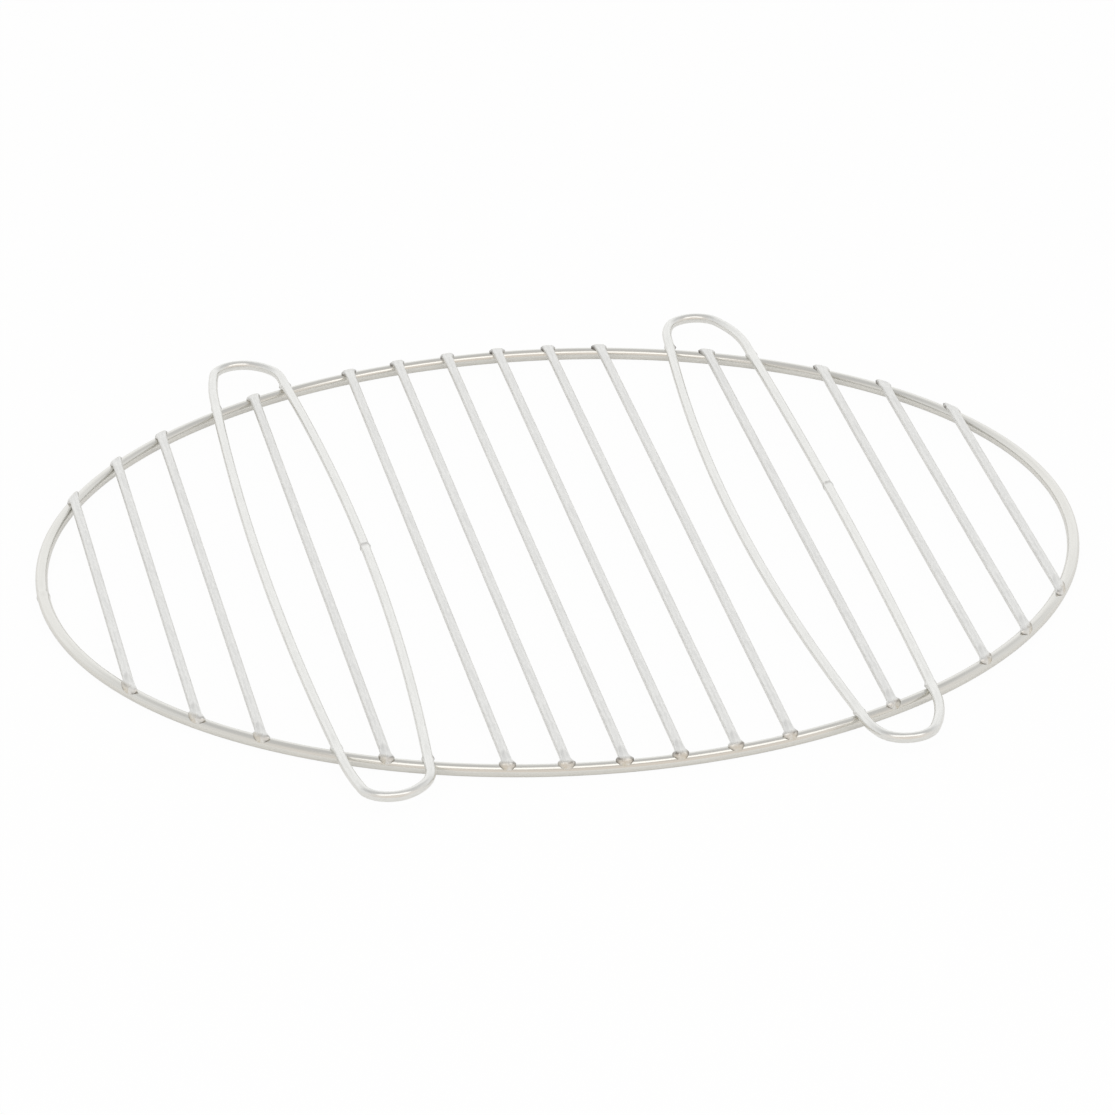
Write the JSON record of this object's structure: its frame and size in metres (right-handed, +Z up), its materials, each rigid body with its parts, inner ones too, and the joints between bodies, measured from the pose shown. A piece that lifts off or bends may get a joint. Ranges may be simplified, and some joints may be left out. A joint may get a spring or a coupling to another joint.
{
  "type": "fire pit grill grate",
  "caption": "Round welded wire cooking grate for a fire pit: parallel bars on a rim ring, with long wire loops whose ends stand out past the rim as lifting handles.",
  "frame": {"origin": "on the ground under the middle of the rim ring", "axes": "+Z up, +Y along the bars towards the back of the picture, +X across the bars to the right"},
  "size_m": [0.4253, 0.449, 0.0088],
  "materials": {
    "rim_wire": "drawn stainless steel wire, rolled, semi-bright",
    "bar_wire": "drawn stainless steel wire, straightened, matte",
    "loop_wire": "drawn stainless steel wire, bent, matte"
  },
  "bodies": {
    "root": {"rim_ring": "rim_wire", "crossbar_01": "bar_wire", "crossbar_02": "bar_wire", "crossbar_03": "bar_wire", "crossbar_04": "bar_wire", "crossbar_05": "bar_wire", "crossbar_06": "bar_wire", "crossbar_07": "bar_wire", "crossbar_08": "bar_wire", "crossbar_09": "bar_wire", "crossbar_10": "bar_wire", "crossbar_11": "bar_wire", "crossbar_12": "bar_wire", "crossbar_13": "bar_wire", "crossbar_14": "bar_wire", "handle_loop_left": "loop_wire", "handle_loop_right": "loop_wire"}
  },
  "joints": []
}
